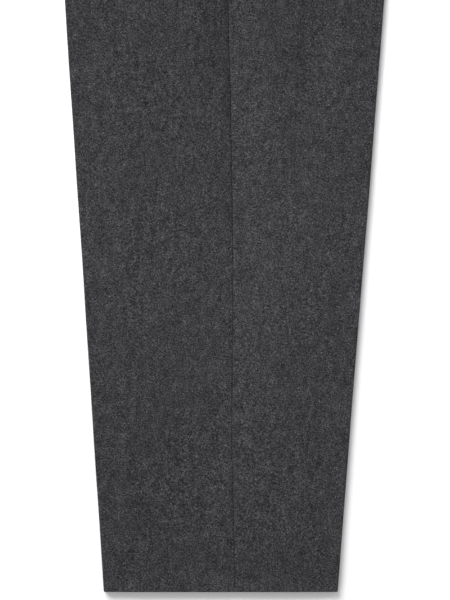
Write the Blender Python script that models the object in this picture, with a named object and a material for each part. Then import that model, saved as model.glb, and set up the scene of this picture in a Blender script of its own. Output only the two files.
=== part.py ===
"""Pleated dress trousers of wool flannel, folded along their creases and laid on their left side.

Metres, +Z up. The hems point to -Y, the waist to +Y, the front creases and the fly to +X.
Each cut piece is one closed wall. The legs lie on each other in four layers, numbered from the ground:
0 the left leg's outside, 1 its inside, 2 the right leg's inside, 3 the right leg's outside.
Heights run up the side seam from the hem. The origin is the middle of the base of the bounding box.
"""

import math
from collections import namedtuple

import bpy
import numpy as np

MM = 0.001

# Cloth
CLOTH = 1.2 * MM  # one layer of flannel
GAP = 0.3 * MM  # air between two pieces that touch
PITCH = CLOTH + GAP
HEM_FOLD = 0.4 * MM  # the turned-up hem makes each wall this much thicker
HEM_DEPTH = 38 * MM
SEAT_TURNING = 1.2 * MM  # the seat seam's turning makes the wall this much thicker along its edge

# The leg laid flat: straight pressed creases either side of the side seam
HEM_BACK = 0.112  # from the side seam to the back crease, at the hem
HEM_FRONT = 0.088  # from the side seam to the front crease, at the hem
BACK_LEAN = 0.0662  # how fast the back crease leaves the seam, per metre of height
FRONT_LEAN = 0.0795

# Heights of the top block
INSEAM = 0.800  # the crotch point
POCKET_BOTTOM = 0.860
FLY_BOTTOM = 0.875  # below it the front folds along its edge
SEAT_JOIN = 0.905  # below it the back folds along its edge
WAIST = 1.030  # the seam under the waistband, at the side

# Waistband, pocket, loops and fly
BAND_HEIGHT = 40 * MM
BAND_CLOTH = 3.2 * MM  # two layers of flannel over canvas
BAND_ROUNDING = 0.9 * MM
POCKET_SLANT = 38 * MM  # how far before the side seam the pocket mouth starts, at the waist
POCKET_OVERLAP = 20 * MM
FACING_DROP = PITCH + 0.2 * MM
LOOP_CLOTH = 1.5 * MM
LOOP_WIDTH = 10 * MM
LOOP_LIFT = LOOP_CLOTH + GAP  # the waist stands on the lower side's belt loops
SHIELD_WIDTH = 42 * MM
ZIP_WIDTH = 22 * MM

# Pressed relief on the upper side
WAIST_RISE = 0.7 * MM
BACK_SHOULDER = 34 * MM  # from the side seam to where the leg is fullest, behind it
FRONT_SHOULDER = 42 * MM
CREASE_RIDGE = 1.2 * MM
HIP_FULLNESS = 1.0 * MM  # the cloth that the pleats let out, around HIP_X and HIP_HEIGHT
HIP_X = 0.130
HIP_HEIGHT = 0.900
DART_DEPTH = 0.5 * MM
FOLD_PITCH = CLOTH + 0.2 * MM  # between the layers of a pressed pleat
PLEAT_SINK = 0.7 * MM  # the pleats' lowest layer sinks this far at the waist
SEAT_ROLL = 14 * MM  # the width over which the seat rolls down to its seam

Outline = namedtuple("Outline", "height back_reach front_reach")
OUTLINE = (  # how far the folded edges stand outside the crease lines
    Outline(0.720, 0.0000, 0.0000),
    Outline(0.750, 0.0015, 0.0015),
    Outline(0.780, 0.0100, 0.0105),
    Outline(0.810, 0.0320, 0.0370),
    Outline(0.840, 0.0580, 0.0700),
    Outline(0.875, 0.0790, 0.0960),
    Outline(0.905, 0.0860, 0.0960),
    Outline(0.950, 0.0711, 0.0865),
    Outline(0.990, 0.0515, 0.0733),
    Outline(1.030, 0.0298, 0.0581),
)

SeamPoint = namedtuple("SeamPoint", "height x")
SIDE_SEAM = (  # the side seam as it lies, from its foot at the hem
    SeamPoint(0.000, 0.0000),
    SeamPoint(0.130, -0.0030),
    SeamPoint(0.270, -0.0023),
    SeamPoint(0.420, -0.0043),
    SeamPoint(0.507, -0.0057),
    SeamPoint(0.650, -0.0060),
    SeamPoint(0.800, -0.0020),
    SeamPoint(0.920, 0.0030),
    SeamPoint(0.980, 0.0080),
    SeamPoint(1.030, 0.0140),
)

Loft = namedtuple("Loft", "height middle seam")
LOFT = (  # how far the upper side stands off its level, in the middle of a panel and at the side seam
    Loft(0.000, 0.0006, 0.0005),
    Loft(0.150, 0.0012, 0.0006),
    Loft(0.300, 0.0019, 0.0006),
    Loft(0.420, 0.0026, 0.0005),
    Loft(0.510, 0.0028, 0.0004),
    Loft(0.650, 0.0026, 0.0006),
    Loft(0.800, 0.0019, 0.0011),
    Loft(0.900, 0.0013, 0.0012),
    Loft(0.985, 0.0007, 0.0007),
    Loft(1.015, 0.0000, 0.0000),
)

Pleat = namedtuple("Pleat", "offset depth foot")
PLEATS = (  # from the side to the front; offset is from the crease line, depth at the waist, foot a height
    Pleat(-0.046, 0.014, 0.925),
    Pleat(0.000, 0.020, 0.875),
)
PLEAT_OPENING = 20 * MM  # below its foot a pleat opens flat over this height

Dart = namedtuple("Dart", "x_waist x_point height_point")
DART = Dart(-0.100, -0.106, 0.935)

Loop = namedtuple("Loop", "name x rests_on")
LOOPS = (  # rests_on is how high the cloth under the loop's foot is, on the upper side
    Loop("front", 0.159, 10.3 * MM),
    Loop("side", 0.005, 8.2 * MM),
    Loop("back", -0.112, 8.2 * MM),
)

SeatLoopStep = namedtuple("SeatLoopStep", "up behind")
SEAT_LOOP_PATH = (  # in millimetres, up from the band's lower edge and out behind the band
    SeatLoopStep(-7.0, 4.2),
    SeatLoopStep(-2.0, 2.6),
    SeatLoopStep(3.0, 1.5),
    SeatLoopStep(20.0, 1.7),
    SeatLoopStep(39.5, 1.4),
)

# Rows of each panel, by height
ROWS = (
    0.000, 0.038, 0.050, 0.170, 0.290, 0.410, 0.530, 0.650, 0.720, 0.745, 0.765, 0.782, 0.800,
    0.820, 0.840, 0.860, 0.867, 0.875, 0.890, 0.905, 0.917, 0.925, 0.945, 0.965, 0.985, 1.003, 1.018, 1.030,
)  # fmt: skip
TURN = tuple(math.radians(a) for a in (45, 90, 135))  # the points inside a half turn of cloth


def smooth(low, high, value):
    """0 up to low, 1 from high on, and an even S-curve between."""
    t = np.clip((np.asarray(value, float) - low) / (high - low), 0.0, 1.0)
    return t * t * (3.0 - 2.0 * t)


def read(table, column, height):
    """A table's column at this height, on a curve through its rows that never overshoots them."""
    h = np.array([row.height for row in table])
    y = np.array([getattr(row, column) for row in table])
    steps = np.diff(y) / np.diff(h)
    slope = np.empty_like(y)
    slope[0], slope[-1] = steps[0], steps[-1]
    before, after = steps[:-1], steps[1:]
    same_way = before * after > 0
    slope[1:-1] = np.where(same_way, 2 * before * after / np.where(same_way, before + after, 1), 0)
    i = int(np.clip(np.searchsorted(h, height) - 1, 0, len(h) - 2))
    width = h[i + 1] - h[i]
    t = min(max((height - h[i]) / width, 0.0), 1.0)
    ease = t * t * (3 - 2 * t)
    lean = t * (1 - t) * width * (slope[i] * (1 - t) - slope[i + 1] * t)
    return float(y[i] * (1 - ease) + y[i + 1] * ease + lean)


# ---- The lie of the garment


def seam_x(height):
    return read(SIDE_SEAM, "x", height)


def back_crease(height):
    return -(HEM_BACK + BACK_LEAN * height)


def front_crease(height):
    return HEM_FRONT + FRONT_LEAN * height


def back_edge(height):
    return back_crease(height) - read(OUTLINE, "back_reach", height)


def front_edge(height):
    return front_crease(height) + read(OUTLINE, "front_reach", height)


def pocket_mouth(height):
    """The front panel's side edge: the side seam, and above the pocket's foot its slanted mouth."""
    share = max(height - POCKET_BOTTOM, 0.0) / (WAIST - POCKET_BOTTOM)
    return seam_x(height) + POCKET_SLANT * share


def waist_tilt(x):
    """How far the waist line stands above WAIST: it climbs to the back and dips to the front."""
    return -0.085 * x + 0.15 * x * x


def y_of(height, x):
    return height + waist_tilt(x) * smooth(0.86, 1.02, height)


def wall(height):
    return CLOTH + HEM_FOLD * float(1 - smooth(HEM_DEPTH, HEM_DEPTH + 12 * MM, height))


def raised(height):
    return LOOP_LIFT * float(smooth(0.94, 1.012, height))


def level(layer, height):
    """The middle of one of the four layers."""
    return raised(height) + (layer + 0.5) * wall(height) + layer * GAP


def fullness(height, x):
    """How far the upper side's outer layer stands off its level.

    It is nothing at the pressed edges, fullest at the shoulders either side of the side seam, and falls
    in a shallow valley to the seam itself.
    """
    inside = smooth(3 * MM, 40 * MM, np.minimum(x - back_edge(height), front_edge(height) - x))
    aside = x - seam_x(height)
    away = np.minimum(np.maximum(aside / FRONT_SHOULDER, -aside / BACK_SHOULDER), 1.0)
    middle, seam = read(LOFT, "middle", height), read(LOFT, "seam", height)
    valley = (middle - seam) * (1 - away) ** 1.3
    below_pleats = ((x - HIP_X) / 0.06) ** 2 + ((height - HIP_HEIGHT) / 0.05) ** 2
    return (middle - valley) * inside + HIP_FULLNESS * np.exp(-below_pleats)


def upper_level(height, x):
    """The middle of the upper side's outer layer."""
    rise = WAIST_RISE * smooth(0.95, 1.015, height)
    return level(3, height) + rise + fullness(height, np.asarray(x, float))


# ---- Folds of a panel


def pleat_points(pleat, height, outward, room):
    """(x, layers, share) of the cloth's path through one pleat; share is how far it is folded, 0 to 1.

    The path runs forward to the fold edge, back under it by the pleat's depth, and on forward. Outward it
    lies on the panel, otherwise beneath it. Below the foot the path opens flat; room is how far that may
    reach forward.
    """
    edge = min(front_crease(height) + pleat.offset, front_edge(height) - 9 * MM)
    folded = float(smooth(pleat.foot - PLEAT_OPENING, pleat.foot, height))
    rise = max(height - pleat.foot, 0.0) / (WAIST - pleat.foot)
    depth = 0.4 * MM + (pleat.depth - 0.4 * MM) * rise**0.7
    half = FOLD_PITCH / 2
    turns = [(half * math.sin(a), 0.5 - 0.5 * math.cos(a)) for a in TURN]
    path = [(-depth - 12 * MM, 0), (-depth - 3 * MM, 0), (0, 0), *turns, (0, 1), (-depth, 1)]
    path += [(-depth - x, 1 + under) for x, under in turns]
    path += [(-depth, 2), (3 * MM, 2), (12 * MM, 0)]
    x, under = np.array(path).T
    layers = 2 - under if outward else under
    share = np.array([0.0, *[1.0] * (len(x) - 2), 0.0])
    flat = np.array([-22, -13, -5.3, -4, -2.7, -1.3, 0, 1.3, 2.7, 4, 5.3, 6.7, 9.5, 14]) * MM
    flat = np.where(flat > 0, flat * min(1.0, room / (15 * MM)), flat)
    return edge + folded * x + (1 - folded) * flat, folded * share * layers, folded * share


def fold_start(edge, way):
    """Where a layer starts to turn so that its fold's outside reaches edge."""
    return edge - way * (PITCH / 2 + CLOTH / 2)


def crotch_x(height, edge, top):
    """The free edge of a leg's inside: the inseam, and above the crotch the seat or fly seam up to top."""
    inseam = seam_x(min(height, INSEAM)) + math.copysign(GAP / 2, edge)
    climb = max(height - INSEAM, 0.0) / (top - INSEAM)
    return inseam + (edge - math.copysign(4 * MM, edge) - inseam) * climb**0.6


def inside_points(x, z, under, height, top):
    """(x, z) of the cloth from its fold at (x, z), back along the level under, to its free edge.

    Above top there is no fold: the same number of points wait at the edge and carry no cloth.
    """
    if height > top:
        return [(x, z)] * (len(TURN) + 3)
    bulge = math.copysign(abs(z - under) / 2, x)
    turn = [(x + bulge * math.sin(a), z + (under - z) * (0.5 - 0.5 * math.cos(a))) for a in TURN]
    free = crotch_x(height, x, top)
    return [*turn, *[(x + (free - x) * share, under) for share in (0.0, 0.5, 1.0)]]


def front_row(height, upper):
    """(x, z, thickness) along the front panel's row, from the side, round the front edge to the inseam."""
    edge = front_edge(height)
    last = fold_start(edge, 1) if height <= FLY_BOTTOM else edge
    side = pocket_mouth(height) + GAP / 2
    crease = min(front_crease(height), edge - 9 * MM)
    small, large = (pleat_points(p, height, upper, last - crease) for p in PLEATS)
    x = [[side, (side + small[0][0]) / 2], small[0], large[0], [(large[0][-1] + last) / 2, last]]
    x = np.concatenate(x)
    layers, share = (np.concatenate([[0, 0], small[i], large[i], [0, 0]]) for i in (1, 2))
    evenly = side + (last - side) * np.linspace(0, 1, len(x))
    x = evenly + (x - evenly) * smooth(0.70, 0.77, height)
    if upper:
        pressed = smooth(0.775, 0.80, height) * (1 - smooth(0.87, 0.90, height))
        ridge = CREASE_RIDGE * pressed * np.exp(-np.abs(x - crease) / (5 * MM))
        sink = PLEAT_SINK * smooth(0.97, 1.018, height) * share
        z = upper_level(height, x) + FOLD_PITCH * layers + ridge - sink
    else:
        z = level(0, height) + FOLD_PITCH * layers
    under = level(2 if upper else 1, height)
    points = [*zip(x, z), *inside_points(last, z[-1], under, height, FLY_BOTTOM)]
    return points, [wall(height)] * len(points), len(x) - 1


def seat_turning(height, inside):
    """The extra thickness of the wall along the seat seam."""
    return SEAT_TURNING * smooth(0.925, 0.965, height) * (1 - smooth(6 * MM, SEAT_ROLL, inside))


def back_row(height, upper):
    """(x, z, thickness) along the back panel's row, from the side, round the back edge to the inseam."""
    edge = back_edge(height)
    last = fold_start(edge, -1) if height <= SEAT_JOIN else edge
    side = seam_x(height) - GAP / 2
    share = (height - DART.height_point) / (WAIST - DART.height_point)
    dart = DART.x_point + (DART.x_waist - DART.x_point) * share
    roll = [last + d * MM for d in (14, 9, 5, 2, 0)]
    x = [side, side - 15 * MM, side - 40 * MM, dart + 20 * MM, dart + 3 * MM, dart, dart - 3 * MM]
    x = np.array([*x, (dart + roll[0]) / 2, *roll])
    evenly = side + (last - side) * np.linspace(0, 1, len(x))
    x = evenly + (x - evenly) * smooth(0.74, 0.86, height)
    inside = x - edge
    extra = seat_turning(height, inside)
    thick = wall(height) + extra
    if upper:
        joined = smooth(SEAT_JOIN, SEAT_JOIN + 40 * MM, height)
        low = raised(height) + 1.5 * thick[-1] + GAP
        z = upper_level(height, x)
        z -= joined * (z - low) * (1 - np.sin(math.pi / 2 * np.clip(inside / SEAT_ROLL, 0, 1)))
        z -= DART_DEPTH * smooth(0.0, 0.3, share) * np.exp(-np.abs(x - dart) / (2 * MM))
    else:
        z = level(0, height) + extra / 2
    under = level(2 if upper else 1, height)
    points = [*zip(x, z), *inside_points(last, z[-1], under, height, SEAT_JOIN)]
    return points, [*thick, *[wall(height)] * (len(points) - len(x))], len(x) - 1


# ---- From middle surfaces to closed walls


def material(name, colour, roughness):
    made = bpy.data.materials.new(name)
    made.use_nodes = True
    shader = made.node_tree.nodes["Principled BSDF"]
    shader.inputs["Base Color"].default_value = (*colour, 1.0)
    shader.inputs["Roughness"].default_value = roughness
    shader.inputs["Metallic"].default_value = 0.0
    return made


def cloth_wall(name, points, thickness, cells, finish, parent):
    """One closed wall: the grid's middle surface, thickened to both sides by a Solidify modifier.

    points is rows x columns x 3, thickness rows x columns, and cells says which quads there are.
    """
    rows, columns = cells.shape
    index = np.arange(points.shape[0] * points.shape[1]).reshape(points.shape[:2])
    quads = [
        (index[r, c], index[r, c + 1], index[r + 1, c + 1], index[r + 1, c])
        for r in range(rows)
        for c in range(columns)
        if cells[r, c]
    ]
    used = np.unique(quads)
    place = {old: new for new, old in enumerate(used)}
    mesh = bpy.data.meshes.new(name)
    mesh.from_pydata(points.reshape(-1, 3)[used].tolist(), [], [[place[i] for i in quad] for quad in quads])
    mesh.materials.append(finish)
    obj = bpy.data.objects.new(name, mesh)
    bpy.context.collection.objects.link(obj)
    obj.parent = parent
    thick = thickness.reshape(-1)[used]
    group = obj.vertex_groups.new(name="thickness")
    for i, value in enumerate(thick):
        group.add([i], float(value / thick.max()), "REPLACE")
    solidify = obj.modifiers.new("Cloth", "SOLIDIFY")
    solidify.thickness = float(thick.max())
    solidify.offset = 0.0
    solidify.vertex_group = group.name
    return obj


def round_rim(obj, width):
    """Rounds the rim of a thick piece such as a waistband."""
    bevel = obj.modifiers.new("Rounding", "BEVEL")
    bevel.width = width
    bevel.segments = 2
    bevel.limit_method = "ANGLE"
    bevel.angle_limit = math.radians(50)


def panel(name, row, upper, top, finish, parent):
    """A front or back panel of one leg. Above top it has no fold, so its inside ends there."""
    points, thickness = [], []
    for height in ROWS:
        found, thick, outer = row(height, upper)
        points.append([(x, float(y_of(height, x)), float(z)) for x, z in found])
        thickness.append(thick)
    points, thickness = np.array(points, float), np.array(thickness, float)
    cells = np.ones((points.shape[0] - 1, points.shape[1] - 1), bool)
    first_open = ROWS.index(top)
    cells[first_open:, outer:] = False
    return cloth_wall(name, points, thickness, cells, finish, parent)


def strip(name, across, along, place, thick, finish, parent):
    """A simple sewn piece: place(a, b) gives its middle surface, with a along its width and b its length."""
    points = np.array([[place(a, b) for a in across] for b in along], float)
    cells = np.ones((len(along) - 1, len(across) - 1), bool)
    return cloth_wall(name, points, np.full(points.shape[:2], thick), cells, finish, parent)


# ---- The small pieces


def pocket_facing(name, upper, finish, parent):
    """The cloth that shows in the slanted pocket mouth, and goes on under the front panel."""

    def place(share, height):
        side, mouth = seam_x(height) + GAP / 2, pocket_mouth(height)
        x = side + (mouth + POCKET_OVERLAP - side) * share
        under = FACING_DROP * float(smooth(mouth - 12 * MM, mouth - 2 * MM, x))
        z = upper_level(height, x) - under if upper else level(0, height) + under
        return x, y_of(height, x), z

    shares = np.linspace(0, 1, 7)
    heights = (0.845, *[h for h in ROWS if h >= POCKET_BOTTOM])
    return strip(name, shares, heights, place, CLOTH, finish, parent)


def band_place(x, up):
    """(x, y) on the waistband: x along its lower edge, up from that edge."""
    lean = -0.085 + 0.30 * x
    length = math.hypot(lean, 1)
    return x - lean / length * up, WAIST + waist_tilt(x) + GAP + up / length


def band_level(x, upper):
    """The middle of the waistband: the upper one comes down to the lower one at the back seam."""
    if not upper:
        return LOOP_LIFT + BAND_CLOTH / 2
    off_edge = float(smooth(0, 30 * MM, x - back_edge(WAIST)))
    return LOOP_LIFT + 1.5 * BAND_CLOTH + GAP + 1.5 * MM * off_edge


def waistband(name, upper, finish, parent):
    back, front = back_edge(WAIST), front_edge(WAIST)
    stations = [back, back + 8 * MM, back + 18 * MM, back + 30 * MM, *np.linspace(back + 0.07, front, 10)]

    def place(up, x):
        return *band_place(x, up), band_level(x, upper)

    obj = strip(name, (0.0, BAND_HEIGHT / 2, BAND_HEIGHT), stations, place, BAND_CLOTH, finish, parent)
    round_rim(obj, BAND_ROUNDING)
    return obj


def belt_loop(name, loop, upper, finish, parent):
    """A loop sewn to the top edge of the band and just below it, bowed over the band on the upper side."""
    band_top = band_level(loop.x, upper) + BAND_CLOTH / 2 + GAP + LOOP_CLOTH / 2
    foot = loop.rests_on + GAP + LOOP_CLOTH / 2
    bow = band_top + 0.8 * MM
    path = ((-8, foot), (-4.5, foot), (0.3, band_top), (12, bow), (28, bow), (39.5, band_top))
    flat = LOOP_CLOTH / 2

    def place(side, step):
        up, z = path[step]
        return *band_place(loop.x + side, up * MM), z if upper else flat

    return strip(name, (-LOOP_WIDTH / 2, LOOP_WIDTH / 2), range(len(path)), place, LOOP_CLOTH, finish, parent)


def seat_loop(name, finish, parent):
    """The middle loop at the back, folded round the seat seam with the waistband."""
    low = LOOP_CLOTH / 2
    high = band_level(back_edge(WAIST), True) + BAND_CLOTH / 2 + GAP + LOOP_CLOTH / 2
    rounding = 2 * MM * (1 - np.sin(np.radians((0, 30, 60, 90))))
    lower = [(LOOP_WIDTH / 2, low), *[(x, low + z) for x, z in zip(rounding, rounding[::-1])]]
    section = [*lower, *[(x, low + high - z) for x, z in reversed(lower)]]

    def place(point, step):
        up, behind = step
        x, z = section[point]
        return *band_place(back_edge(WAIST) - behind * MM + x, up * MM), z

    return strip(name, range(len(section)), SEAT_LOOP_PATH, place, LOOP_CLOTH, finish, parent)


def fly_shield(finish, parent):
    """The strip under the fly opening, sewn to the right front and standing up between the waistbands."""
    between_bands = LOOP_LIFT + BAND_CLOTH + GAP + CLOTH / 2 + 0.2 * MM

    def place(share, height):
        x = front_edge(min(height, WAIST)) - 1.5 * MM - SHIELD_WIDTH * (1 - share)
        up = float(smooth(0.94, WAIST, height))
        return x, y_of(height, x), level(2, 0.90) + (between_bands - level(2, 0.90)) * up

    heights = (0.890, 0.925, 0.945, 0.965, 0.985, 1.003, 1.018, 1.030, 1.062)
    return strip("fly_shield", (0.0, 0.5, 1.0), heights, place, CLOTH, finish, parent)


def fly_zip(finish, parent):
    """The closed zip under the fly, as its tape."""

    def place(share, height):
        x = front_edge(height) - 4 * MM - ZIP_WIDTH * (1 - share)
        return x, y_of(height, x), level(1, height)

    heights = [h for h in ROWS if 0.890 <= h <= 1.018]
    return strip("fly_zip", (0.0, 1.0), heights, place, CLOTH, finish, parent)


# ---- The whole garment


def put_origin_under_middle(empty):
    """Moves the garment so that the middle of its bounding box's base is the origin."""
    bpy.context.view_layer.update()
    graph = bpy.context.evaluated_depsgraph_get()
    corners = []
    for obj in empty.children:
        mesh = obj.evaluated_get(graph).to_mesh()
        corners.extend(tuple(v.co) for v in mesh.vertices)
    low, high = np.min(corners, axis=0), np.max(corners, axis=0)
    middle = (low + high) / 2
    empty.location = (-middle[0], -middle[1], -low[2])


def main():
    for old in list(bpy.data.objects):
        bpy.data.objects.remove(old)
    garment = bpy.data.objects.new("garment", None)
    bpy.context.collection.objects.link(garment)
    flannel = material("flannel", (0.048, 0.047, 0.052), 0.95)
    tape = material("zip_tape", (0.020, 0.020, 0.022), 0.70)
    for side, upper in (("right", True), ("left", False)):
        panel(side + "_front", front_row, upper, FLY_BOTTOM, flannel, garment)
        panel(side + "_back", back_row, upper, SEAT_JOIN, flannel, garment)
        pocket_facing(side + "_pocket_facing", upper, flannel, garment)
        waistband(side + "_waistband", upper, flannel, garment)
        for loop in LOOPS:
            belt_loop(f"{side}_loop_{loop.name}", loop, upper, flannel, garment)
    seat_loop("seat_loop", flannel, garment)
    fly_shield(flannel, garment)
    fly_zip(tape, garment)
    put_origin_under_middle(garment)


main()
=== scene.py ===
"""The looks of a pair of pleated dress trousers in charcoal melange flannel, folded and laid on white.

Metres, +Z up. Shapes are worked out in the garment's own coordinates: x across from the foot of the side
seam, height up that seam from the hem. to_row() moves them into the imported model's frame.
The legs lie in four layers, numbered from the ground: 0 the left leg's outside, 1 its inside, 2 the right
leg's inside, 3 its outside. "Upper" pieces belong to the right leg.
"""

import math
from collections import namedtuple

import bpy
import numpy as np
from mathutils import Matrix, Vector


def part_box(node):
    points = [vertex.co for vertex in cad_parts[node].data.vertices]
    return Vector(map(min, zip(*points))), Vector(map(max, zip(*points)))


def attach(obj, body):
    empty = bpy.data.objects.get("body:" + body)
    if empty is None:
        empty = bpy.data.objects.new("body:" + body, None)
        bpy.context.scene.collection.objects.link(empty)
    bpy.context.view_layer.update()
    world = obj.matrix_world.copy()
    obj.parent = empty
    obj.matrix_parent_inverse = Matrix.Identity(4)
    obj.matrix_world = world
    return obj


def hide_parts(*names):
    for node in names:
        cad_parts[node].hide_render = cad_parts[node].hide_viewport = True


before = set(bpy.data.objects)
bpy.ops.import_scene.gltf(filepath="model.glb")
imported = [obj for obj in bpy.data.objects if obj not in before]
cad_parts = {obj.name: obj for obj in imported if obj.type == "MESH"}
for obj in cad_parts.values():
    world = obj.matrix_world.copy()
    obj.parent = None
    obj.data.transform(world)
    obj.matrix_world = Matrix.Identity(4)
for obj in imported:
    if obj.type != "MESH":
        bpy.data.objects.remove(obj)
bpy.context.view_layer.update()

MM = 0.001


def rows(columns, *values):
    """A table, as rows with named values."""
    row = namedtuple("Row", columns)
    return [row(*value) for value in values]


# ---- The cut and the lie of the garment, as in the solids but for HEM_FOLD and two rows of LOFT
# A name with _IN or _OUT is the pair of heights between which something comes in or ends.

CLOTH = 1.2 * MM
GAP = 0.3 * MM
PITCH = CLOTH + GAP
SLACK = 0.2 * MM
HEM_FOLD = 0.12 * MM
HEM_DEPTH = 38 * MM
HEM_OUT = (HEM_DEPTH - 10 * MM, HEM_DEPTH + 30 * MM)
SEAT_TURNING = 1.2 * MM
TURNING_IN = (0.925, 0.965)

HEM_BACK = 0.112
HEM_FRONT = 0.088
BACK_LEAN = 0.0662
FRONT_LEAN = 0.0795

INSEAM = 0.800
POCKET_BOTTOM = 0.860
FLY_BOTTOM = 0.875
SEAT_JOIN = 0.905
WAIST = 1.030
TILT_SLOPE = -0.085  # of the waist's line across the garment
TILT_CURVE = 0.15
TILT_IN = (0.86, 1.02)

BAND_HEIGHT = 40 * MM
BAND_CLOTH = 3.2 * MM
BAND_STAND = 1.5 * MM  # of the upper band off the lower one
POCKET_SLANT = 38 * MM
POCKET_OVERLAP = 20 * MM
FACING_BOTTOM = 0.845
FACING_DROP = PITCH + SLACK
LOOP_CLOTH = 1.5 * MM
LOOP_WIDTH = 10 * MM
LOOP_LIFT = LOOP_CLOTH + GAP
LOOP_LIFT_IN = (0.94, 1.012)
SHIELD_WIDTH = 42 * MM
SHIELD_INSET = 1.5 * MM
SHIELD_SPAN = (0.890, 1.062)
ZIP_WIDTH = 22 * MM
ZIP_INSET = 4 * MM
ZIP_SPAN = (0.890, 1.018)

WAIST_RISE = 0.7 * MM
WAIST_RISE_IN = (0.95, 1.015)
BACK_SHOULDER = 34 * MM
FRONT_SHOULDER = 42 * MM
CREASE_RIDGE = 1.2 * MM
CREASE_INSIDE = 9 * MM  # the front edge, at least
HIP_FULLNESS = 1.0 * MM
HIP_X = 0.130
HIP_HEIGHT = 0.900
HIP_SPREAD = (0.06, 0.05)
DART_DEPTH = 0.5 * MM
FOLD_PITCH = CLOTH + SLACK
PLEAT_SINK = 0.7 * MM
SEAT_ROLL = 14 * MM
SEAT_JOIN_IN = (SEAT_JOIN, SEAT_JOIN + 40 * MM)

OUTLINE = rows(  # how far the folded edges stand outside the crease lines
    "height back_reach front_reach",
    (0.720, 0.0000, 0.0000),
    (0.750, 0.0015, 0.0015),
    (0.780, 0.0100, 0.0105),
    (0.810, 0.0320, 0.0370),
    (0.840, 0.0580, 0.0700),
    (0.875, 0.0790, 0.0960),
    (0.905, 0.0860, 0.0960),
    (0.950, 0.0711, 0.0865),
    (0.990, 0.0515, 0.0733),
    (1.030, 0.0298, 0.0581),
)

SIDE_SEAM = rows(
    "height x",
    (0.000, 0.0000),
    (0.130, -0.0030),
    (0.270, -0.0023),
    (0.420, -0.0043),
    (0.507, -0.0057),
    (0.650, -0.0060),
    (0.800, -0.0020),
    (0.920, 0.0030),
    (0.980, 0.0080),
    (1.030, 0.0140),
)
LEFTMOST_SEAM = 0.0060  # how far behind its foot it gets

LOFT = rows(  # how far the upper side stands off its level, mid panel and at the side seam
    "height middle seam",
    (0.000, 0.0006, 0.0005),
    (0.150, 0.0012, 0.0006),
    (0.300, 0.0019, 0.0006),
    (0.420, 0.0029, 0.0005),
    (0.510, 0.0031, 0.0004),
    (0.650, 0.0026, 0.0006),
    (0.800, 0.0019, 0.0011),
    (0.900, 0.0013, 0.0012),
    (0.985, 0.0007, 0.0007),
    (1.015, 0.0000, 0.0000),
)

PLEATS = rows(
    "offset depth foot",
    (-0.046, 0.014, 0.925),
    (0.000, 0.020, 0.875),
)
PLEAT_CLOSING = (-22 * MM, 3 * MM)  # from its foot
SHALLOWEST_PLEAT = 0.4 * MM

DART_POINT = 0.935
DART_POINT_X = -0.106
DART_WAIST_X = -0.100

LOOPS = rows(
    "name x rests_on",
    ("front", 0.159, 10.3 * MM),
    ("side", 0.005, 8.2 * MM),
    ("back", -0.112, 8.2 * MM),
)

SEAT_LOOP_PATH = rows(
    "up behind",
    (-7.0 * MM, 4.2 * MM),
    (-2.0 * MM, 2.6 * MM),
    (3.0 * MM, 1.5 * MM),
    (20.0 * MM, 1.7 * MM),
    (39.5 * MM, 1.4 * MM),
)

# ---- What the cloth adds to the solids' shape

INSEAM_GAP = 0.05 * MM
INSEAM_ASIDE = 1.6 * MM  # from the side seam
SEAM_ROUND = 0.75 * MM  # how far from a seam the cloth rolls into it
HEM_ROUND = 0.8 * MM
THIN_RIM = 0.10  # the share of its thickness that a rounded rim keeps
EDGE_WANDER = 0.18 * MM  # how far a pressed edge strays from its line

SEAM_PRESS = rows(  # how far forward the side seam strays, its gap and dip, and how steeply they begin
    "height shift gap dip steepness",
    (0.000, 0.00040, 0.00012, 0.00026, 1.4),
    (0.030, 0.00060, 0.00018, 0.00040, 1.5),
    (0.062, 0.00110, 0.00022, 0.00050, 1.6),
    (0.092, 0.00110, 0.00020, 0.00052, 1.6),
    (0.121, 0.00080, 0.00024, 0.00060, 1.6),
    (0.153, 0.00060, 0.00008, 0.00020, 1.5),
    (0.185, 0.00090, 0.00028, 0.00050, 1.6),
    (0.214, 0.00080, 0.00009, 0.00018, 1.6),
    (0.260, 0.00100, 0.00018, 0.00030, 1.8),
    (0.340, 0.00080, 0.00036, 0.00090, 2.1),
    (0.410, 0.00095, 0.00045, 0.00100, 2.3),
    (0.435, 0.00085, 0.00038, 0.00090, 2.4),
    (0.460, 0.00055, 0.00028, 0.00080, 2.5),
    (0.500, 0.00040, 0.00027, 0.00082, 2.6),
    (0.700, 0.00000, 0.00010, 0.00040, 1.8),
    (1.030, 0.00000, 0.00006, 0.00012, 1.3),
)
SEAM_DIP_WIDTH = 1.3 * MM

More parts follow.
